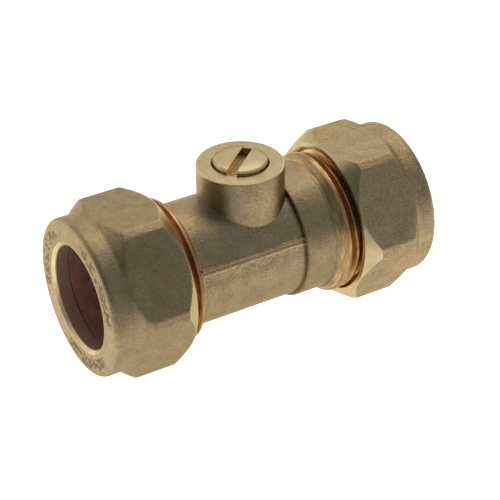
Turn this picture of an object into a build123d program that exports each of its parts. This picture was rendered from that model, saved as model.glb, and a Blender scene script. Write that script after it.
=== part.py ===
from build123d import *
import os
from math import cos, pi, radians, sin, sqrt, tan

os.makedirs("parts", exist_ok=True)

# Straight isolating ball valve for 15 mm pipe with a compression joint at each end.
# Millimetres. The origin is the ball centre, where the pipe axis (X) crosses the stem axis (Z, up).
# Left is -X, right is +X. Every outline is a list of (distance along, distance from) its axis
# for the pipe axis, and (radius, height) for the stem axis.

# ---- shared dimensions --------------------------------------------------------------------------
pipe_clear_r = 7.60        # sockets, olives and nut mouths all clear a 15 mm pipe
fit_gap = 0.03             # gap between pieces that sit against each other
overlap = 0.6              # how far a body section runs on into the next one

# body
barrel_r = 9.01            # forged barrel, a touch above the pipe axis
barrel_lift = 0.025
barrel_left = -11.6
shoulder_x = 5.40          # the barrel steps up here to the shoulder that holds the retainer
shoulder_r = 9.58
shoulder_lift = 0.11
shoulder_round = 0.22
ridge_r = 0.24             # low ridge where the dies parted
ridge_left = -11.15
ridge_angles = (156, 24)   # from +Y towards +Z
collar_in = 10.50          # turned collar at the right thread, inner side
collar_r = 10.57
left_collar_r = 10.40
body_end = 20.60           # body ends inside the nuts
body_core_r = 5.0          # the turned ends start here, inside the bores

# boss and stem bore
boss_r = 6.31
boss_foot = 2.0
boss_top = 13.72
boss_round = 0.30
stem_bore_r = 4.05
stem_bore_bevel = 0.12
stem_pocket_r = 5.00
stem_pocket_low = 3.0
stem_pocket_top = 9.00

# pipe thread G 1/2 on both ends, 55 degree flanks, 14 threads to the inch
pitch = 25.4 / 14
thread_major_r = 20.955 / 2
thread_depth = 0.640327 * pitch
thread_minor_r = thread_major_r - thread_depth
thread_gap = 0.12          # play between the body's thread and the nut's thread
thread_sink = 0.12         # how far the ridge's foot reaches below the minor radius
thread_start = 11.08       # where the thread's centre line begins, before it is trimmed
male_length = 10.0
female_length = 9.9
flank = tan(radians(27.5))
crest_half = pitch / 12

# ball, seats, retainer
ball_r = 6.75
ball_bore_r = 4.25
ball_bevel = 0.25
cavity_r = ball_r + 0.30
cavity_end = 7.10
cup_r = ball_r + fit_gap
seat_outer_r = cavity_r - 0.05
seat_inner_r = 4.60
seat_mid_r = 5.1           # a point halfway along the cup's arc
seat_face = 3.90
seat_back = 7.06
seat_bevel = 0.2
pipe_stop = 10.10
waterway_r = 5.00
retainer_bore_r = 7.40
retainer_in_bevel = 0.30
retainer_out_bevel = 0.25
retainer_mouth_bevel = 0.35
key_slot_w = 1.6
key_slot_depth = 1.1

# stem
slot_angle = 41.0          # screwdriver slot, from the pipe axis towards +Y: about half open
stem_r = 3.93
stem_top = 14.26
stem_bevel = 0.14
stem_slot_w = 1.50
stem_slot_depth = 1.55
flange_r = 4.90
flange_low = 7.30
flange_high = 8.30
flange_bevel = 0.2
tang_half_w = 1.20
tang_half_l = 3.60
tang_low = 5.00
tang_side_gap = 0.08
tang_end_gap = 0.1
groove_r = 3.05
groove_h = 1.10
groove_z = {"lower": 9.95, "upper": 11.55}
oring_r = 0.47
oring_mid_r = (groove_r + stem_bore_r) / 2
washer_bore_gap = 0.05

# nuts
nut_back = 13.80
nut_back_r = 11.58         # small end of the machined chamfer at the back
nut_back_bevel_end = 16.00
nut_front = 26.44
nut_flats = 23.33          # across flats
nut_bevel = 13.08          # axis to the flat that breaks each corner
nut_round = 0.40
nut_limit_r = 13.25        # just clear of the corners
nut_cone_in = 21.50
nut_collar_in = 23.28
nut_collar_r = 11.53
nut_relief_in = 20.40
nut_relief_r = 10.75
nut_seat = 24.05
nut_seat_r = 8.20
nut_mouth_bevel = 0.47
nut_corner = {"left": 26.1, "right": 30.3}   # a corner's angle from +Z towards -Y

# the mouth cone in each body end
mouth_r = 8.90
mouth_slope = tan(radians(30))
mouth_in = body_end - (mouth_r - pipe_clear_r) / mouth_slope

# Lengthwise profile plane for each end: its x runs outwards along the pipe, its y is up.
lengthwise = {
    "left": Plane(origin=(0, 0, 0), x_dir=(-1, 0, 0), z_dir=(0, 1, 0)),
    "right": Plane.XZ,
}

# Planes turned with the ball and stem: one square to the ball's bore, one level with x along it.
slot_cos = cos(radians(slot_angle))
slot_sin = sin(radians(slot_angle))
bore_plane = Plane(origin=(0, 0, 0), x_dir=(-slot_sin, slot_cos, 0), z_dir=(slot_cos, slot_sin, 0))
slot_plane = Plane(origin=(0, 0, 0), x_dir=(slot_cos, slot_sin, 0), z_dir=(0, 0, 1))


# ---- helpers ------------------------------------------------------------------------------------
def revolved(outline, axis=Axis.X, plane=Plane.XZ):
    """A closed outline of straight lines, turned once round the axis."""
    with BuildPart() as ring:
        with BuildSketch(plane):
            with BuildLine():
                Polyline(*outline, close=True)
            make_face()
        revolve(axis=axis)
    return ring.part


def circle_at(axis, place, radius):
    """An edge test: a circle of this radius at this place along the axis."""
    return lambda edge: (edge.geom_type == GeomType.CIRCLE
                         and abs(edge.center().dot(axis.direction) - place) < 0.01
                         and abs(edge.radius - radius) < 0.01)


def save(name, part):
    part.label = name
    export_step(part, f"parts/{name}.step")


# ---- thread -------------------------------------------------------------------------------------
def thread_form(start, length, grow):
    """A right-hand helical ridge of the pipe thread on the right end, thicker all round by grow."""
    with BuildPart() as form:
        with BuildLine():
            helix = Helix(pitch=pitch, height=length, radius=thread_minor_r,
                          center=(start, 0, 0), direction=(1, 0, 0))
        begin = helix @ 0
        with BuildSketch(Plane(origin=begin, x_dir=(0, begin.Y, begin.Z), z_dir=helix % 0)):
            top = thread_depth + grow
            foot = grow - thread_sink
            top_half = crest_half + grow * (sqrt(1 + flank**2) - flank)
            foot_half = top_half + flank * (top - foot)
            with BuildLine():
                Polyline((foot, -foot_half), (top, -top_half), (top, top_half),
                         (foot, foot_half), close=True)
            make_face()
        sweep(path=helix, is_frenet=True)
    return form.part


def make_male_thread():
    """The ridge on the right body end, trimmed to length and chamfered at both ends."""
    inside_r = thread_minor_r - 0.2
    limits = (
        (12.70, inside_r), (12.70, thread_minor_r + 0.05), (13.02, thread_major_r),
        (19.50, thread_major_r), (body_end, thread_major_r - 1.10), (body_end, inside_r),
    )
    with BuildPart() as thread:
        add(thread_form(thread_start, male_length, 0.0))
        add(revolved(limits), mode=Mode.INTERSECT)
    return thread.part


# ---- body: forged barrel, boss, threaded ends ---------------------------------------------------
# Collar, thread relief and the cylinder that the thread stands on, at each end.
right_end = (
    (collar_in - 1.2, body_core_r), (collar_in - 0.25, 9.70), (collar_in, 9.78),
    (11.62, collar_r), (12.18, collar_r), (12.55, thread_minor_r),
    (body_end, thread_minor_r), (body_end, body_core_r),
)
left_end = (
    (-11.05, body_core_r), (-11.05, 8.95), (-11.35, 9.10), (-12.05, left_collar_r),
    (-12.45, left_collar_r), (-12.75, thread_minor_r),
    (-body_end, thread_minor_r), (-body_end, body_core_r),
)
# All the bores, from the left mouth to the right one; 1 mm past each end to cut clean.
bores = (
    (-body_end - 1, 0), (-body_end - 1, mouth_r + mouth_slope),
    (-mouth_in, pipe_clear_r), (-pipe_stop, pipe_clear_r),
    (-pipe_stop, waterway_r), (-cavity_end, waterway_r),
    (-cavity_end, cavity_r), (cavity_end, cavity_r),
    (cavity_end, retainer_bore_r), (pipe_stop + 0.1, retainer_bore_r),
    (pipe_stop + 0.2, pipe_clear_r), (mouth_in, pipe_clear_r),
    (body_end + 1, mouth_r + mouth_slope), (body_end + 1, 0),
)
# Stem bore, and the pocket below it for the flange and its washer.
stem_bore = (
    (0, stem_pocket_low), (stem_pocket_r, stem_pocket_low),
    (stem_pocket_r, stem_pocket_top), (stem_bore_r, stem_pocket_top),
    (stem_bore_r, boss_top - stem_bore_bevel), (stem_bore_r + stem_bore_bevel, boss_top),
    (stem_bore_r + stem_bore_bevel, boss_top + 1), (0, boss_top + 1),
)


def make_valve_body():
    male_thread = make_male_thread()
    with BuildPart() as body:
        # barrel and shoulder, each a touch off centre as the forging dies left them
        with BuildSketch(Plane.YZ.offset(barrel_left)):
            with Locations((0, barrel_lift)):
                Circle(barrel_r)
        extrude(amount=shoulder_x + overlap - barrel_left)
        with BuildSketch(Plane.YZ.offset(shoulder_x)):
            with Locations((0, shoulder_lift)):
                Circle(shoulder_r)
        extrude(amount=collar_in + overlap - shoulder_x)
        fillet(body.edges().filter_by(circle_at(Axis.X, shoulder_x, shoulder_r)),
               radius=shoulder_round)
        # parting ridges, on the front and on the back
        with BuildSketch(Plane.YZ.offset(ridge_left)):
            for turn in ridge_angles:
                with PolarLocations(0, 1, start_angle=turn):
                    with Locations((barrel_r + 0.01, 0)):
                        Circle(ridge_r)
        extrude(amount=shoulder_x - ridge_left + overlap / 2)
        # boss with a rolled-over rim
        with BuildSketch(Plane.XY.offset(boss_foot)):
            Circle(boss_r)
        extrude(amount=boss_top - boss_foot)
        fillet(body.edges().filter_by(circle_at(Axis.Z, boss_top, boss_r)), radius=boss_round)
        # turned ends and their threads
        with BuildSketch(Plane.XZ):
            for outline in (right_end, left_end):
                with BuildLine():
                    Polyline(*outline, close=True)
                make_face()
        revolve(axis=Axis.X)
        add(male_thread)
        add(male_thread, rotation=(0, 0, 180))
        add(revolved(bores), mode=Mode.SUBTRACT)
        add(revolved(stem_bore, Axis.Z), mode=Mode.SUBTRACT)
    return body.part


# ---- ball ---------------------------------------------------------------------------------------
def make_ball():
    bore_rim_length = 2 * pi * ball_bore_r
    with BuildPart() as ball:
        Sphere(ball_r)
        with BuildSketch(bore_plane):
            Circle(ball_bore_r)
        extrude(amount=ball_r + 1, both=True, mode=Mode.SUBTRACT)
        # drive slot for the stem's tang, across the bore
        with BuildSketch(slot_plane.offset(tang_low - tang_end_gap)):
            Rectangle(2 * (tang_half_w + tang_side_gap), 3 * ball_r)
        extrude(amount=4, mode=Mode.SUBTRACT)
        # the bore's rims are a little longer than flat circles, as they lie on the sphere
        chamfer(ball.edges().filter_by(lambda edge: abs(edge.length - bore_rim_length) < 1.5
                                       and edge.geom_type != GeomType.LINE), length=ball_bevel)
    return ball.part


# ---- seats: rings with a spherical cup that faces the ball --------------------------------------
def cup(r):
    """The point of the cup at distance r from the pipe axis."""
    return (sqrt(cup_r**2 - r**2), r)


def make_seat(plane):
    cup_lip = (seat_face, sqrt(cup_r**2 - seat_face**2))
    with BuildPart() as seat:
        with BuildSketch(plane):
            with BuildLine():
                ThreePointArc(cup(seat_inner_r), cup(seat_mid_r), cup_lip)
                Polyline(cup_lip, (seat_face, seat_outer_r),
                         (seat_back - seat_bevel, seat_outer_r),
                         (seat_back, seat_outer_r - seat_bevel),
                         (seat_back, seat_inner_r), cup(seat_inner_r))
            make_face()
        revolve(axis=Axis.X)
    return seat.part


# ---- retainer that closes the cavity from the right and is the pipe stop there ------------------
def make_seat_retainer():
    inner_x = cavity_end + fit_gap
    outer_r = retainer_bore_r - fit_gap
    outline = (
        (inner_x, waterway_r), (inner_x, outer_r - retainer_in_bevel),
        (inner_x + retainer_in_bevel, outer_r), (pipe_stop - retainer_out_bevel, outer_r),
        (pipe_stop, outer_r - retainer_out_bevel),
        (pipe_stop, waterway_r + retainer_mouth_bevel),
        (pipe_stop - retainer_mouth_bevel, waterway_r),
    )
    with BuildPart() as retainer:
        add(revolved(outline))
        # two slots for the assembly key
        with BuildSketch(Plane.YZ.offset(pipe_stop - key_slot_depth)):
            Rectangle(4 * retainer_bore_r, key_slot_w)
        extrude(amount=2, mode=Mode.SUBTRACT)
    return retainer.part


# ---- stem, its thrust washer and its O-rings ----------------------------------------------------
def groove_outline(z):
    """The four corners of an O-ring groove centred at height z, from the bottom up."""
    low = z - groove_h / 2
    high = z + groove_h / 2
    return ((stem_r, low), (groove_r, low), (groove_r, high), (stem_r, high))


def make_stem():
    outline = (
        (0, flange_low), (flange_r - flange_bevel, flange_low),
        (flange_r, flange_low + flange_bevel), (flange_r, flange_high), (stem_r, flange_high),
        *groove_outline(groove_z["lower"]),
        *groove_outline(groove_z["upper"]),
        (stem_r, stem_top - stem_bevel), (stem_r - stem_bevel, stem_top), (0, stem_top),
    )
    with BuildPart() as stem:
        add(revolved(outline, Axis.Z))
        # tang
        with BuildSketch(slot_plane.offset(tang_low)):
            Rectangle(2 * tang_half_w, 2 * tang_half_l)
        extrude(amount=flange_low - tang_low + 0.2)
        # screwdriver slot
        with BuildSketch(slot_plane.offset(stem_top - stem_slot_depth)):
            Rectangle(4 * stem_r, stem_slot_w)
        extrude(amount=stem_slot_depth + 1, mode=Mode.SUBTRACT)
    return stem.part


def make_thrust_washer():
    with BuildPart() as washer:
        with BuildSketch(Plane.XY.offset(flange_high + fit_gap)):
            Circle(flange_r)
            Circle(stem_r + washer_bore_gap, mode=Mode.SUBTRACT)
        extrude(amount=stem_pocket_top - flange_high - 2 * fit_gap)
    return washer.part


def make_oring(z):
    with BuildPart() as oring:
        with BuildSketch(Plane.XZ):
            with Locations((oring_mid_r, z)):
                Circle(oring_r)
        revolve(axis=Axis.Z)
    return oring.part


# ---- nuts and olives ----------------------------------------------------------------------------
# Turned outside: machined chamfer at the back, cone down to the collar at the front.
nut_outside = (
    (nut_back, 0), (nut_back, nut_back_r), (nut_back_bevel_end, nut_limit_r),
    (nut_cone_in, nut_limit_r), (nut_collar_in, nut_collar_r),
    (nut_front, nut_collar_r), (nut_front, 0),
)
# x, radius from the axis, rounding of that corner
nut_outside_rounds = (
    (nut_front, nut_collar_r, 0.65),
    (nut_collar_in, nut_collar_r, 0.9),
    (nut_cone_in, nut_limit_r, 1.0),
)
# Inside: mouth chamfer, thread crest bore, relief, cone for the olive, pipe hole.
nut_inside = (
    (nut_back - 1, 0), (nut_back - 1, 11.0), (nut_back, 10.92), (nut_back + 0.36, 10.60),
    (nut_back + 1.5, thread_minor_r + thread_gap), (nut_relief_in, thread_minor_r + thread_gap),
    (nut_relief_in, nut_relief_r), (nut_seat - (nut_relief_r - nut_seat_r), nut_relief_r),
    (nut_seat, nut_seat_r), (nut_seat, pipe_clear_r),
    (nut_front - nut_mouth_bevel, pipe_clear_r), (nut_front, pipe_clear_r + nut_mouth_bevel),
    (nut_front + 1, pipe_clear_r + nut_mouth_bevel), (nut_front + 1, 0),
)
olive_outline = (
    (19.10, pipe_clear_r), (19.10, 7.92), (20.60, 8.80), (21.00, 8.95),
    (23.16, 8.95), (23.90, 8.22), (23.90, pipe_clear_r),
)


def make_nut(corner):
    """A forged hexagonal compression nut on the right end, with collar and pipe hole outside and
    pipe thread inside. corner is the angle of one hexagon corner from +Z towards -Y."""
    with BuildPart() as nut:
        # hexagon with a flat breaking each corner
        with BuildSketch(Plane.YZ.offset(nut_back)) as hexagon:
            RegularPolygon(radius=nut_flats / 2, side_count=6, major_radius=False,
                           rotation=90 + corner)
            RegularPolygon(radius=nut_bevel, side_count=6, major_radius=False,
                           rotation=120 + corner, mode=Mode.INTERSECT)
            fillet(hexagon.vertices(), radius=nut_round)
        extrude(amount=nut_front - nut_back)
        with BuildSketch(Plane.XZ) as envelope:
            with BuildLine():
                Polyline(*nut_outside, close=True)
            make_face()
            for x, r, rounding in nut_outside_rounds:
                fillet(envelope.vertices().sort_by_distance((x, r, 0))[0], radius=rounding)
        revolve(axis=Axis.X, mode=Mode.INTERSECT)
        add(revolved(nut_inside), mode=Mode.SUBTRACT)
        # the thread groove, which matches the body's ridge with play all round
        add(thread_form(thread_start + pitch, female_length, thread_gap), mode=Mode.SUBTRACT)
    return nut.part


def make_left_nut():
    """A right-end nut turned about Z, which swaps the sense of its corner angle."""
    with BuildPart() as nut:
        add(make_nut(-nut_corner["left"]), rotation=(0, 0, 180))
    return nut.part


# ---- write the pieces ---------------------------------------------------------------------------
save("valve_body", make_valve_body())
save("ball", make_ball())
save("seat_retainer", make_seat_retainer())
save("stem", make_stem())
save("stem_thrust_washer", make_thrust_washer())
for place, z in groove_z.items():
    save(f"stem_oring_{place}", make_oring(z))
save("nut_right", make_nut(nut_corner["right"]))
save("nut_left", make_left_nut())
for side, plane in lengthwise.items():
    save(f"seat_{side}", make_seat(plane))
    save(f"olive_{side}", revolved(olive_outline, plane=plane))
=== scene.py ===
"""Brass ball valve with compression nuts, on a white table in a soft studio.

The pipe runs along x with a nut at each end, and the stem points up along +z. The camera
looks down from the front left (-x, -y). Materials work in millimetres in each part's own
frame; the table, lens clipping and shader distances are in metres.
"""

import math
from collections import namedtuple

import bpy
from mathutils import Matrix, Vector


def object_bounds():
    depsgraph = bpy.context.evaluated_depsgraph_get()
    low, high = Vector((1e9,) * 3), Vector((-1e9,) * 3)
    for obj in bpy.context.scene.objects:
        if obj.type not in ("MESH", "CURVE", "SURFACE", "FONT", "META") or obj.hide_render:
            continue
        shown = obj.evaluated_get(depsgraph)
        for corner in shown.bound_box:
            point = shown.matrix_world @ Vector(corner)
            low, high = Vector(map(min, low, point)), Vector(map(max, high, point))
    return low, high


MM = 0.001


def rgb(red, green, blue):
    return (red, green, blue, 1.0)


# ---- shared colours and ranges ----
RAW_LIT = rgb(0.524, 0.397, 0.216)
RAW_DULL = rgb(0.430, 0.331, 0.189)
RAW_STAIN = rgb(0.45, 0.30, 0.14)
BRIGHT = rgb(0.880, 0.715, 0.440)
BRIGHT_DEEP = rgb(0.800, 0.605, 0.315)
ORANGE_TARNISH = rgb(0.66, 0.36, 0.15)
BROWN_TARNISH = rgb(0.30, 0.20, 0.10)
# painted shade colours for creases and gaps: near black on forged brass, orange on cut brass,
# brown on turned brass
RAW_CREASE_SHADE = rgb(0.070, 0.052, 0.032)
CUT_CREASE_SHADE = rgb(0.92, 0.60, 0.44)
TURNED_CREASE_SHADE = rgb(0.30, 0.155, 0.060)
WHITE = rgb(1.0, 1.0, 1.0)

RAW_CREASE_SHADING, CUT_CREASE_SHADING = 0.36, 0.60  # how strongly painted crease shade covers forged and cut brass

# parts of a noise's range that are stretched over the wanted values
WIDE = (0.25, 0.75)
MIDDLE = (0.3, 0.7)
CORE = (0.35, 0.65)

Finish = namedtuple("Finish", "color rough height")


# ---- shader graphs ----
class Field:
    """A number, vector or colour in a shader graph; arithmetic on it adds Math nodes."""

    def __init__(self, graph, socket):
        self.graph = graph
        self.socket = socket

    def __add__(self, other):
        return self.graph.math("ADD", self, other)

    def __radd__(self, other):
        return self.graph.math("ADD", other, self)

    def __sub__(self, other):
        return self.graph.math("SUBTRACT", self, other)

    def __rsub__(self, other):
        return self.graph.math("SUBTRACT", other, self)

    def __mul__(self, other):
        return self.graph.math("MULTIPLY", self, other)

    def __pow__(self, other):
        return self.graph.math("POWER", self, other)

    def __abs__(self):
        return self.graph.math("ABSOLUTE", self)

    def max(self, other, clamp=False):
        return self.graph.math("MAXIMUM", self, other, clamp)

    def line(self, start, end, to=(0.0, 1.0), kind="LINEAR"):
        """Go straight from to[0] to to[1] as the value goes from start to end."""
        return self.graph.field("ShaderNodeMapRange", {
            "Value": self, "From Min": start, "From Max": end, "To Min": to[0], "To Max": to[1],
        }, interpolation_type=kind)

    def ramp(self, start, end, to=(0.0, 1.0)):
        """The same as line, but easing in and out."""
        return self.line(start, end, to, kind="SMOOTHSTEP")

    def shift(self, x, y, z):
        """Move a position, so that noises read from it don't line up with others."""
        return self.graph.field("ShaderNodeVectorMath", {0: self, 1: (x, y, z)}, operation="ADD")

    def noise(self, scale, detail=2.0, rough=0.5, distortion=0.0):
        return self.graph.field("ShaderNodeTexNoise", {
            "Vector": self, "Scale": scale, "Detail": detail, "Roughness": rough,
            "Distortion": distortion})

    def tint(self, color):
        return self.graph.mix(1.0, self, color, "MULTIPLY")

    def shade(self, tone):
        """Multiply all three channels of a colour by one field."""
        return self.tint(self.graph.vector(tone, tone, tone))


class Graph:
    """The emptied node tree of a material or world."""

    def __init__(self, owner):
        owner.use_nodes = True
        self.tree = owner.node_tree
        self.tree.nodes.clear()

    def add(self, kind, inputs=None, **settings):
        made = self.tree.nodes.new(kind)
        for name, value in settings.items():
            setattr(made, name, value)
        for key, value in (inputs or {}).items():
            if isinstance(value, Field):
                self.tree.links.new(value.socket, made.inputs[key])
            else:
                made.inputs[key].default_value = value
        return made

    def field(self, kind, inputs=None, output=0, **settings):
        return Field(self, self.add(kind, inputs, **settings).outputs[output])

    def math(self, operation, first, second=0.0, clamp=False):
        return self.field("ShaderNodeMath", {0: first, 1: second, 2: 0.0}, operation=operation,
                          use_clamp=clamp)

    def mix(self, share, under, over, blend="MIX"):
        """Mix two colours."""
        return self.field("ShaderNodeMix", {0: share, 6: under, 7: over}, output=2,
                          data_type="RGBA", blend_type=blend)

    def blend(self, share, under, over):
        """Mix two numbers."""
        return self.field("ShaderNodeMix", {0: share, 2: under, 3: over}, data_type="FLOAT")

    def vector(self, x, y, z):
        return self.field("ShaderNodeCombineXYZ", {0: x, 1: y, 2: z})

    def split(self, vector):
        return [Field(self, socket)
                for socket in self.add("ShaderNodeSeparateXYZ", {0: vector}).outputs]

    def position(self):
        """Position in the part's own frame, in mm, and its x, y and z."""
        at = self.field("ShaderNodeTexCoord", output="Object")
        at = self.field("ShaderNodeVectorMath", {0: at, "Scale": 1000.0}, operation="SCALE")
        return at, *self.split(at)

    def off_axis(self, across, up):
        """Distance from an axis: (y, z) for the pipe's, (x, y) for the stem's."""
        return self.math("SQRT", across * across + up * up)

    def openness(self, distance):
        """Ambient occlusion: 1 in the open, 0 where other surfaces crowd in."""
        return self.field("ShaderNodeAmbientOcclusion", {"Distance": distance}, "AO", samples=6)

    def rounded(self, radius, samples):
        """Normal with the edges rounded over a radius in metres."""
        return self.field("ShaderNodeBevel", {"Radius": radius}, samples=samples)

    def rings(self, along, out, density, seed, detail=2.0, rough=0.5):
        """Tool rings about an axis, from the places along it and out from it."""
        where = self.vector(along * density, out * density, seed)
        return where.noise(1.0, detail, rough)

    def camera_ray(self):
        return self.field("ShaderNodeLightPath", output="Is Camera Ray")


# ---- surface finishes ----
def raw_forging(graph, at, seed, coarse=1.0):
    """A blasted forging: sharp fine grain, soft mottling and a few darker pits."""
    at = at.shift(seed * 7.3, seed * 3.1, seed * 5.7)
    grain = at.noise(3.6, rough=0.65)
    fine = at.noise(8.5, detail=1.0)
    patch = at.noise(0.50, detail=3.0, rough=0.55, distortion=0.4)
    stain = at.shift(40.0, 11.0, 5.0).noise(0.17)
    pits = graph.field("ShaderNodeTexVoronoi", {"Vector": at, "Scale": 1.35, "Randomness": 1.0},
                       "Distance", feature="F1").ramp(0.09, 0.20, to=(1.0, 0.0))
    color = graph.mix(patch.ramp(*MIDDLE), RAW_DULL, RAW_LIT)
    color = graph.mix(stain.ramp(0.46, 0.70, to=(0.0, 0.30)), color, RAW_STAIN)
    # lightness varies with the grain, then hue drifts between warm and cool
    grain_swing = 0.24 * coarse
    fine_swing = 0.17 * coarse
    tone = grain.line(*WIDE, to=(1.0 - grain_swing, 1.0 + grain_swing))
    tone = tone * fine.line(0.2, 0.8, to=(1.0 - fine_swing, 1.0 + fine_swing))
    tone = tone * pits.line(0.0, 1.0, to=(1.0, 0.78))
    hue = at.shift(3.0, 60.0, 9.0).noise(2.7, rough=0.6)
    red = tone * hue.line(*WIDE, to=(0.95, 1.08))
    blue = tone * hue.line(*WIDE, to=(1.06, 0.98))
    color = color.tint(graph.vector(red, tone, blue))
    rough = patch.line(*MIDDLE, to=(0.355, 0.305)) + grain.line(*MIDDLE, to=(0.03, -0.03))
    height = grain * (0.050 * coarse) + fine * (0.012 * coarse) - pits * 0.018
    return Finish(color, rough, height)


def turned_face(graph, at, along, out, seed):
    """A turned face: fine tool rings about an axis and faint clouding."""
    rings = graph.rings(along, out, density=9.0, seed=seed, detail=3.0, rough=0.6)
    wide = graph.rings(along, out, density=1.6, seed=seed + 4.0)
    cloud = at.shift(seed * 2.0, 9.0, 3.0).noise(0.55, detail=3.0, rough=0.6)
    speck = at.noise(5.0, rough=0.6)
    color = graph.mix(cloud.ramp(0.32, 0.68), BRIGHT_DEEP, BRIGHT)
    color = color.shade(rings.line(*WIDE, to=(0.88, 1.06)) * speck.line(*WIDE, to=(0.93, 1.05)))
    rough = wide.line(*MIDDLE, to=(0.15, 0.24)) + speck.line(*MIDDLE, to=(0.02, -0.02))
    return Finish(color, rough, rings * 0.013)


def tarnish(graph, color, x, y, z, amount, stain):
    """Streaks that run round a turned face."""
    bands = graph.vector(x * 2.6, y * 0.30, z * 0.30).noise(1.0, detail=4.0, rough=0.62)
    return graph.mix(bands.ramp(0.36, 0.60) * amount, color, stain)


def finish_metal(graph, color, rough, height, crease_shading, crease_shade_color=RAW_CREASE_SHADE, metallic=1.0,
                 edge=rgb(0.92, 0.84, 0.70), soften=0.08):
    """Metal with edges rounded over soften mm, relief height in mm and painted shade in its
    folds.
    """
    # painted shade: ambient occlusion mixes the crease colour in where surfaces crowd together
    crease_shade = graph.openness(0.8 * MM).ramp(0.20, 0.80, to=(1.0, 0.0)) * crease_shading
    normal = graph.field("ShaderNodeBump", {
        "Height": height, "Distance": MM, "Strength": 1.0,
        "Normal": graph.rounded(graph.math("MULTIPLY", soften, MM), samples=6)})
    skin = graph.field("ShaderNodeBsdfPrincipled", {
        "Base Color": graph.mix(crease_shade, color, crease_shade_color), "Metallic": metallic,
        "Roughness": rough + crease_shade * 0.2, "Specular Tint": edge, "Normal": normal})
    graph.add("ShaderNodeOutputMaterial", {"Surface": skin})


def finish_plastic(graph, color, rough, height, depth, strength, **more):
    """Plastic or rubber, with a relief depth in metres."""
    normal = graph.field("ShaderNodeBump", {"Height": height, "Distance": depth,
                                            "Strength": strength})
    skin = graph.field("ShaderNodeBsdfPrincipled", {
        "Base Color": color, "Metallic": 0.0, "Normal": normal, "Roughness": rough, **more})
    graph.add("ShaderNodeOutputMaterial", {"Surface": skin})


# ---- valve body; pairs are where a fade starts and ends, in mm or degrees ----
SHOULDER_START = (5.2, 5.8)     # x
SHOULDER_END = (10.42, 10.56)   # x
SHOULDER_FACE = (9.60, 9.74)    # radius where the shoulder's cut end face begins
THREAD_START = (11.02, 11.16)   # distance along the pipe where the cut ends begin
BORE = (7.9, 7.7)               # radius
BOSS_TOP = (13.36, 13.46)       # z
BOSS_SIDE = (6.336, 6.316)      # radius about the stem
BOSS_RIM = (5.95, 6.05)         # radius about the stem
WELL = (4.35, 4.25)             # radius about the stem
WELL_FLOOR = (6.5, 6.9)         # z


def boss_surroundings(graph, color, at, x, y, z, stem_radius):
    """Paint shade round the foot of the boss, lighten its low side with a painted reflection,
    and leave scale on its -x side.
    """
    # painted shade round the foot of the boss
    foot_shade = graph.openness(5.5 * MM).ramp(0.30, 0.90, to=(0.62, 0.0)) * abs(x).ramp(10.0, 9.0)
    foot_shade = foot_shade * stem_radius.ramp(6.312, 6.336, to=(0.25, 1.0))
    # scale on the boss and on the barrel beside it
    blot = at.shift(5.0, 2.0, 8.0).noise(0.55, detail=3.0, rough=0.6)
    scale = x.ramp(-1.5, -5.0) * stem_radius.ramp(9.5, 6.6)
    scale = scale * (z.ramp(13.3, 11.9) * y.ramp(3.0, 0.0))
    scale = scale * blot.ramp(0.30, 0.62, to=(0.35, 0.95))
    # painted reflection of the table: the side of the boss is a little lighter low down
    low = stem_radius.ramp(*BOSS_SIDE) * z.ramp(12.0, 9.5, to=(1.0, 1.10))
    color = color.shade(graph.blend(stem_radius.ramp(*BOSS_SIDE), 1.0, low))
    # mix in the painted shade colour round the foot, but not where there is scale
    color = graph.mix(foot_shade * (1.0 - scale), color, rgb(0.15, 0.125, 0.090))
    return graph.mix(scale * 0.62, color, rgb(0.27, 0.265, 0.265))


def boss_face(graph, raw, capped, stem_radius):
    """The boss face is cut but left dull, so it keeps some of the forging's grain."""
    color = graph.mix(0.30, capped.color, raw.color).tint(rgb(0.93, 0.93, 0.95))
    # painted highlight: the rounded rim of the boss face is brightened
    color = color.shade(stem_radius.ramp(*BOSS_RIM, to=(1.0, 1.30)))
    rough = capped.rough + stem_radius.ramp(*BOSS_RIM, to=(0.10, 0.26))
    # it curves down away from the well, then lifts again at the rim
    fall = (stem_radius - 4.3).max(0.0) ** 2.0
    lip = (stem_radius - 6.0).max(0.0) * 0.60
    height = capped.height + (raw.height * 0.45 - fall * 0.020) + lip
    return Finish(color, rough, height)


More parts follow.
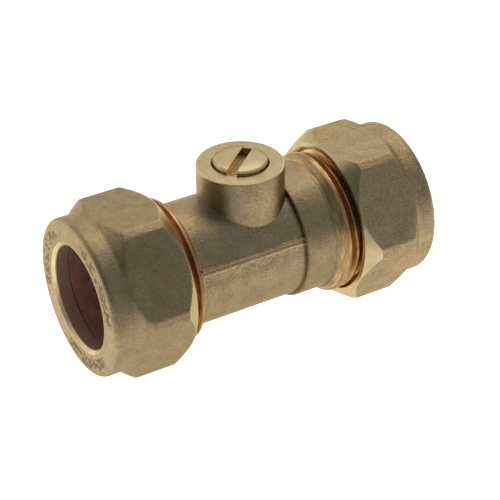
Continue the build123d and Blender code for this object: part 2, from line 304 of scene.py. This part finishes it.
def body_brass(graph):
    at, x, y, z = graph.position()
    radius = graph.off_axis(y, z)
    stem_radius = graph.off_axis(x, y)
    outward = abs(x)
    raw = raw_forging(graph, at, seed=1.0)
    turned = turned_face(graph, at, x, radius, seed=2.0)
    capped = turned_face(graph, at, z, stem_radius, seed=5.0)
    face = boss_face(graph, raw, capped, stem_radius)

    # cut faces: the shoulder's end, both pipe ends, the bore, and the boss top and well
    ends = x.ramp(*SHOULDER_END) * radius.ramp(*SHOULDER_FACE)
    ends = ends.max(outward.ramp(*THREAD_START))
    cut = ends.max(radius.ramp(*BORE), clamp=True)
    well = stem_radius.ramp(*WELL) * z.ramp(*WELL_FLOOR)
    boss = z.ramp(*BOSS_TOP).max(well, clamp=True)

    gilt = turned.color.tint(rgb(1.06, 1.02, 0.88))
    gilt = tarnish(graph, gilt, x, y, z, amount=0.85, stain=ORANGE_TARNISH)
    gilt = tarnish(graph, gilt, x + 4.1, y, z, amount=0.6, stain=BROWN_TARNISH)

    # the shoulder is darker underneath; just below the parting ridge the barrel gets a painted
    # reflection of the table and is lighter
    under = x.ramp(*SHOULDER_START) * z.ramp(2.5, -1.0, to=(1.0, 0.90))
    under = graph.blend(x.ramp(*SHOULDER_START), 1.0, under)
    angle = graph.math("ARCTAN2", abs(y), z) * (180.0 / math.pi)  # degrees down from +z
    barrel = x.ramp(-11.2, -11.0) * x.ramp(5.5, 5.3)
    ridge_table_reflection = angle.ramp(70.3, 71.3) * angle.ramp(84.0, 73.0) * barrel
    # add the painted table reflection below the parting ridge
    under = under * graph.blend(ridge_table_reflection, 1.0, 1.45)
    color = graph.mix(cut, raw.color.shade(under), gilt)
    color = boss_surroundings(graph, color, at, x, y, z, stem_radius)
    color = graph.mix(boss, color, face.color)

    rough = graph.blend(cut, raw.rough, turned.rough)
    rough = graph.blend(ends * outward.ramp(12.6, 12.3), rough, turned.rough + 0.10)
    rough = graph.blend(boss, rough, face.rough)

    # below the parting ridge the metal dips, then climbs back to the lower die half
    step = angle.ramp(69.8, 72.6) * angle.ramp(86.0, 73.0) * barrel
    ragged = at.noise(0.9).line(*MIDDLE, to=(0.45, 1.25))
    height = graph.blend(cut, raw.height - step * ragged * 0.075, turned.height)
    height = graph.blend(boss, height, face.height)
    # painted crease shade, stronger on cut brass
    finish_metal(graph, color, rough, height, crease_shading=graph.blend(cut, RAW_CREASE_SHADING, CUT_CREASE_SHADING),
                 crease_shade_color=graph.mix(cut, RAW_CREASE_SHADE, CUT_CREASE_SHADE),
                 soften=graph.blend(cut.max(boss), 0.20, 0.06))


# ---- nuts, in mm; outward is the distance from the valve's middle along the pipe ----
CONE_START, CONE_RADIUS = 13.80, 11.58  # small end of the chamfer that faces the body
CONE_SLOPE = 0.7591                     # growth in radius for each mm outward
END_FACE = (26.15, 26.3)                # outward
MARK_RING = (8.75, 9.0, 10.65, 10.35)   # radii: inner edge fades in, outer edge fades out


def nut_cut(at, radius, outward):
    """Where a nut is cut bright: the chamfer facing the body, its inside and inner end."""
    cone = radius - (CONE_RADIUS + (outward - CONE_START) * CONE_SLOPE)
    wavy = (at.noise(1.2) - 0.5) * 0.03
    chamfer = outward.ramp(16.10, 16.00) * (cone + wavy).ramp(-0.060, -0.035)
    mouth = radius.ramp(10.99, 10.94) * outward.ramp(24.3, 24.1)
    inside = radius.ramp(8.22, 8.12).max(mouth, clamp=True)
    return chamfer.max(inside).max(outward.ramp(13.86, 13.82), clamp=True)


def upper_edge_highlight(graph, z, outward):
    """Painted highlight on the upper edges of the hexagon, found where a rounded normal leaves
    the flat one.
    """
    bent = graph.field("ShaderNodeVectorMath", {
        0: graph.rounded(0.85 * MM, samples=8),
        1: graph.field("ShaderNodeNewGeometry", output="Normal"),
    }, "Value", operation="DOT_PRODUCT")
    return bent.ramp(0.995, 0.950) * (z.ramp(-3.0, 2.0) * outward.ramp(22.4, 21.4))


def punch_marks(graph, x, y, z, radius, outward):
    """Worn, unreadable marks in a ring on the outer end face, broken into three spans."""
    angle = graph.math("ARCTAN2", z, y)
    ring = radius.ramp(*MARK_RING[:2]) * radius.ramp(*MARK_RING[2:])
    marks = graph.vector(angle * 15.0, radius * 1.7, x * 0.02).noise(1.0, detail=1.0)
    spans = graph.math("SINE", angle * 3.0 + 0.6).ramp(-0.45, -0.15)
    return marks.ramp(0.47, 0.56) * (ring * spans) * outward.ramp(*END_FACE)


def nut_brass(coarse, raw_tone, raw_rough, low_sheen_tone, top_sheen_tone, cut_top_sheen, cut_rough):
    """Builder for one nut: tones multiply colour, the sheen tones paint light low down and shade
    at the top, and roughness is added to each finish.
    """
    def build(graph):
        at, x, y, z = graph.position()
        radius = graph.off_axis(y, z)
        outward = abs(x)
        raw = raw_forging(graph, at, seed=3.0 + coarse, coarse=coarse)
        turned = turned_face(graph, at, x, radius, seed=7.0)
        cut = nut_cut(at, radius, outward)

        # painted light: the hex and the outer end face are lighter low down and darker at the
        # top
        tone = graph.blend(outward.ramp(26.1, 26.3), z.ramp(-9.0, 9.0, to=(low_sheen_tone, top_sheen_tone)),
                           z.ramp(-6.0, 6.0, to=(1.16, 0.86)))
        # painted highlight along the upper hex edges
        tone = tone * graph.blend(upper_edge_highlight(graph, z, outward), 1.0, 1.32)
        skin = raw.color.tint(rgb(raw_tone, raw_tone, raw_tone)).shade(tone)
        # painted sheen: cut brass is lighter low down and, on the right nut, darker at the top
        cut_color_and_sheen = turned.color.shade(z.ramp(-8.0, 8.0, to=(1.10, cut_top_sheen)))
        color = graph.mix(cut, skin, cut_color_and_sheen)
        rough = graph.blend(cut, raw.rough + raw_rough, turned.rough + cut_rough)
        height = graph.blend(cut, raw.height, turned.height)

        marks = punch_marks(graph, x, y, z, radius, outward)
        color = graph.mix(marks * 0.80, color, rgb(0.115, 0.080, 0.050))
        height = height - marks * 0.13

        # the narrow bore at the outer end has gone dull
        lip = radius.ramp(7.72, 7.66) * outward.ramp(23.9, 24.0)
        color = graph.mix(lip * 0.85, color, rgb(0.46, 0.32, 0.255))
        rough = rough + lip * 0.10
        # painted crease shade, weaker in the dull bore
        crease_shading = graph.blend(cut, RAW_CREASE_SHADING, CUT_CREASE_SHADING) * graph.blend(lip, 1.0, 0.3)
        finish_metal(graph, color, rough, height, crease_shading,
                     crease_shade_color=graph.mix(cut, RAW_CREASE_SHADE, CUT_CREASE_SHADE),
                     metallic=graph.blend(lip, 1.0, 0.6),
                     soften=graph.blend(cut, outward.ramp(16.5, 20.0, to=(0.45, 1.0)), 0.07))
    return build


# ---- small parts ----
def stem_brass(graph):
    at, x, y, z = graph.position()
    stem_radius = graph.off_axis(x, y)
    raw = raw_forging(graph, at, seed=9.0)
    turned = turned_face(graph, at, z, stem_radius, seed=11.0)
    # the cap is very slightly domed, with its rim rolled over
    dome = stem_radius * stem_radius * -0.022
    roll = (stem_radius - 3.45).max(0.0) ** 2.0 * -0.9
    cap = (dome + roll) * z.ramp(14.1, 14.2)
    height = turned.height + raw.height * 0.35 + cap
    finish_metal(graph, graph.mix(0.25, turned.color, raw.color), turned.rough + 0.04, height,
                 crease_shading=0.30, crease_shade_color=TURNED_CREASE_SHADE)


def retainer_brass(graph):
    at, x, y, z = graph.position()
    turned = turned_face(graph, at, x, graph.off_axis(y, z), seed=13.0)
    finish_metal(graph, *turned, crease_shading=0.4, crease_shade_color=TURNED_CREASE_SHADE)


def ball_plate(graph):
    at, x, y, z = graph.position()
    cloud = at.noise(0.7, detail=3.0)
    fine = at.noise(6.0)
    sleek = graph.vector(z * 14.0, graph.off_axis(x, y) * 2.0, 1.0).noise(1.0, detail=3.0)
    color = graph.mix(cloud.ramp(*CORE), rgb(0.62, 0.62, 0.62), rgb(0.74, 0.73, 0.71))
    rough = cloud.line(*MIDDLE, to=(0.07, 0.14)) + fine.line(*MIDDLE, to=(-0.02, 0.02))
    finish_metal(graph, color, rough, sleek * 0.004, crease_shading=0.35, edge=WHITE)


def olive_copper(graph):
    at, x, y, z = graph.position()
    rings = graph.rings(x, graph.off_axis(y, z), density=8.0, seed=3.0, detail=3.0, rough=0.6)
    cloud = at.noise(0.5, detail=3.0, rough=0.6, distortion=0.5)
    fine = at.noise(4.5)
    color = graph.mix(cloud.ramp(*CORE), rgb(0.455, 0.258, 0.238), rgb(0.575, 0.340, 0.305))
    color = color.shade(rings.line(*WIDE, to=(0.88, 1.1)) * fine.line(*WIDE, to=(0.92, 1.08)))
    rough = cloud.line(*MIDDLE, to=(0.36, 0.46)) + fine.line(*MIDDLE, to=(-0.02, 0.03))
    finish_metal(graph, color, rough, rings * 0.012 + fine * 0.010, crease_shading=0.3,
                 crease_shade_color=rgb(0.20, 0.10, 0.08), metallic=0.50, edge=rgb(1.0, 0.95, 0.9))


def seat_ptfe(graph):
    at, x, y, z = graph.position()
    cloud = at.noise(0.6, detail=3.0)
    fine = at.noise(5.0, detail=3.0)
    rings = graph.rings(x, graph.off_axis(y, z), density=6.0, seed=3.0)
    color = graph.mix(cloud.ramp(*CORE), rgb(0.80, 0.79, 0.76), rgb(0.88, 0.88, 0.86))
    color = graph.mix(fine.ramp(0.62, 0.72, to=(0.0, 0.35)), color, rgb(0.55, 0.52, 0.46))
    finish_plastic(graph, color, cloud.line(*MIDDLE, to=(0.42, 0.55)), rings + fine * 0.5,
                   depth=0.00002, strength=0.8,
                   **{"Subsurface Weight": 0.25, "Subsurface Radius": (0.0006, 0.0005, 0.0004)})


def ring_rubber(graph):
    at = graph.position()[0]
    cloud = at.noise(1.1, detail=3.0)
    fine = at.noise(9.0, detail=3.0)
    color = graph.mix(cloud.ramp(*CORE), rgb(0.012, 0.012, 0.012), rgb(0.030, 0.029, 0.028))
    color = graph.mix(fine.ramp(0.60, 0.75, to=(0.0, 0.5)), color, rgb(0.09, 0.085, 0.08))
    finish_plastic(graph, color, cloud.line(*MIDDLE, to=(0.38, 0.52)), fine,
                   depth=0.00001, strength=0.7)


LEFT_NUT = nut_brass(coarse=1.0, raw_tone=0.97, raw_rough=0.0, low_sheen_tone=1.10, top_sheen_tone=0.93,
                     cut_top_sheen=1.0, cut_rough=0.15)
RIGHT_NUT = nut_brass(coarse=1.25, raw_tone=1.16, raw_rough=0.07, low_sheen_tone=1.05,
                      top_sheen_tone=0.955, cut_top_sheen=0.86, cut_rough=0.03)

# material name, builder, parts that wear it
LOOKS = [
    ("forged_brass_body", body_brass, ["valve_body"]),
    ("forged_brass_nut_left", LEFT_NUT, ["nut_left"]),
    ("forged_brass_nut_right", RIGHT_NUT, ["nut_right"]),
    ("turned_brass_stem", stem_brass, ["stem"]),
    ("turned_brass_retainer", retainer_brass, ["seat_retainer"]),
    ("plated_ball", ball_plate, ["ball"]),
    ("copper_olive", olive_copper, ["olive_left", "olive_right"]),
    ("white_seat", seat_ptfe, ["seat_left", "seat_right", "stem_thrust_washer"]),
    ("black_rubber", ring_rubber, ["stem_oring_lower", "stem_oring_upper"]),
]


def make_material(name, build):
    made = bpy.data.materials.new(name)
    build(Graph(made))
    return made


def dress(nodes):
    for name, build, wearers in LOOKS:
        material = make_material(name, build)
        for wearer in wearers:
            for slot in nodes[wearer].material_slots:
                slot.material = material


# ---- white table under the valve, in metres ----
TABLE_SIZE = 6.0
TABLE_GAP = 0.0004    # below the valve's lowest point
TABLE_GLOW = 0.64     # as the valve sees it
TABLE_SEEN = 1.25     # glow as the camera sees it
TABLE_ALBEDO = 0.42


def table_white(graph):
    where = graph.field("ShaderNodeTexCoord", output="Object")
    x, y, z = graph.split(where)
    # the light comes from behind (+y), so the table falls off towards the front left
    front = x * -0.6 - y
    fall = front.ramp(0.022, 0.070, to=(1.0, 0.48)) * front.ramp(-0.030, 0.010, to=(1.2, 1.0))
    fall = fall * x.ramp(-0.034, -0.024, to=(1.35, 1.0))
    albedo = fall * TABLE_ALBEDO
    matte = graph.field("ShaderNodeBsdfDiffuse", {
        "Color": graph.vector(albedo, albedo, albedo),
        "Roughness": where.noise(30.0).line(0.0, 1.0, to=(0.4, 0.6))})
    glow = graph.field("ShaderNodeEmission", {
        "Color": rgb(1.0, 0.99, 0.97),
        "Strength": graph.blend(graph.camera_ray(), fall * TABLE_GLOW, TABLE_SEEN)})
    both = graph.field("ShaderNodeAddShader", {0: matte, 1: glow})
    graph.add("ShaderNodeOutputMaterial", {"Surface": both})


def add_table(lowest):
    bpy.ops.mesh.primitive_plane_add(size=TABLE_SIZE, location=(0, 0, lowest - TABLE_GAP))
    table = bpy.context.object
    table.name = "table"
    table.data.materials.append(make_material("table_white", table_white))


# ---- studio light: a pale sweep behind, a softbox overhead, a darker room in front ----
SOFTBOX_WAY = Vector((0.35, 0.40, 0.85)).normalized()


def studio(graph):
    way = graph.field("ShaderNodeTexCoord", output="Generated")
    way = graph.field("ShaderNodeVectorMath", {0: way}, operation="NORMALIZE")
    x, y, z = graph.split(way)
    toward = graph.field("ShaderNodeVectorMath", {0: way, 1: tuple(SOFTBOX_WAY)}, "Value",
                         operation="DOT_PRODUCT")
    # walls, with a dark corner on the left and a halo round the softbox
    corner = x.ramp(0.15, -0.60) * z.ramp(-0.1, 0.2)
    walls = graph.mix(corner, rgb(0.232, 0.250, 0.268), rgb(0.105, 0.125, 0.115))
    walls = graph.mix(toward.ramp(0.66, 0.92), walls, rgb(0.50, 0.49, 0.46))
    # the paper sweep dims with height
    level = z.ramp(0.42, 0.62, to=(0.68, 0.54))
    paper = graph.field("ShaderNodeCombineColor", {0: level, 1: level * 0.99, 2: level * 0.97})
    sweep = (y + z * 0.3).ramp(0.24, 0.50)
    light = graph.mix(sweep, walls, paper)
    light = graph.mix(toward.ramp(0.88, 0.96), light, rgb(1.10, 1.07, 1.00))
    light = graph.mix(z.ramp(0.0, -0.02), light, rgb(0.95, 0.94, 0.92))
    light = graph.mix(graph.camera_ray(), light, WHITE)
    back = graph.field("ShaderNodeBackground", {"Color": light, "Strength": 1.0})
    graph.add("ShaderNodeOutputWorld", {"Surface": back})


def add_world(scene):
    scene.world = bpy.data.worlds.new("studio")
    studio(Graph(scene.world))


# ---- camera: world to view, where the view has x right, y down and z forward ----
VIEW_TURN = Vector((2.0756121, -0.5853162, 0.3071232))        # axis times angle, radians
VIEW_SHIFT = Vector((-1.2520095, -0.8328296, 248.0548497))    # mm
SENSOR_WIDTH = 36.0      # mm
FOCAL_LENGTH = 123.2537976   # mm


def add_camera(scene):
    lens = bpy.data.cameras.new("camera")
    lens.sensor_width = SENSOR_WIDTH
    lens.lens = FOCAL_LENGTH
    lens.clip_start = 0.01
    lens.clip_end = 20.0
    camera = bpy.data.objects.new("camera", lens)
    scene.collection.objects.link(camera)
    to_world = Matrix.Rotation(VIEW_TURN.length, 3, VIEW_TURN.normalized()).transposed()
    # a Blender camera has y up and looks along -z
    placed = (to_world @ Matrix.Diagonal((1.0, -1.0, -1.0))).to_4x4()
    placed.translation = -(to_world @ VIEW_SHIFT) / 1000.0
    camera.matrix_world = placed
    scene.camera = camera


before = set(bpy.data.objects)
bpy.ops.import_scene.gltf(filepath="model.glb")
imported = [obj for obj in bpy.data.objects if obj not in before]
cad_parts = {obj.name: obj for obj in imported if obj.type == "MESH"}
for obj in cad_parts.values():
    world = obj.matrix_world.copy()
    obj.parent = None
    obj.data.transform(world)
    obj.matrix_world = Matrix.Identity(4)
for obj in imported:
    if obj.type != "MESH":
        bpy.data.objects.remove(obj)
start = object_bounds()
scene = bpy.context.scene

dress(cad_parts)
add_table(start[0].z)
add_world(scene)
add_camera(scene)

scene.view_settings.view_transform = "Standard"
scene.view_settings.look = "None"
scene.view_settings.exposure = 0.0
scene.view_settings.gamma = 1.0
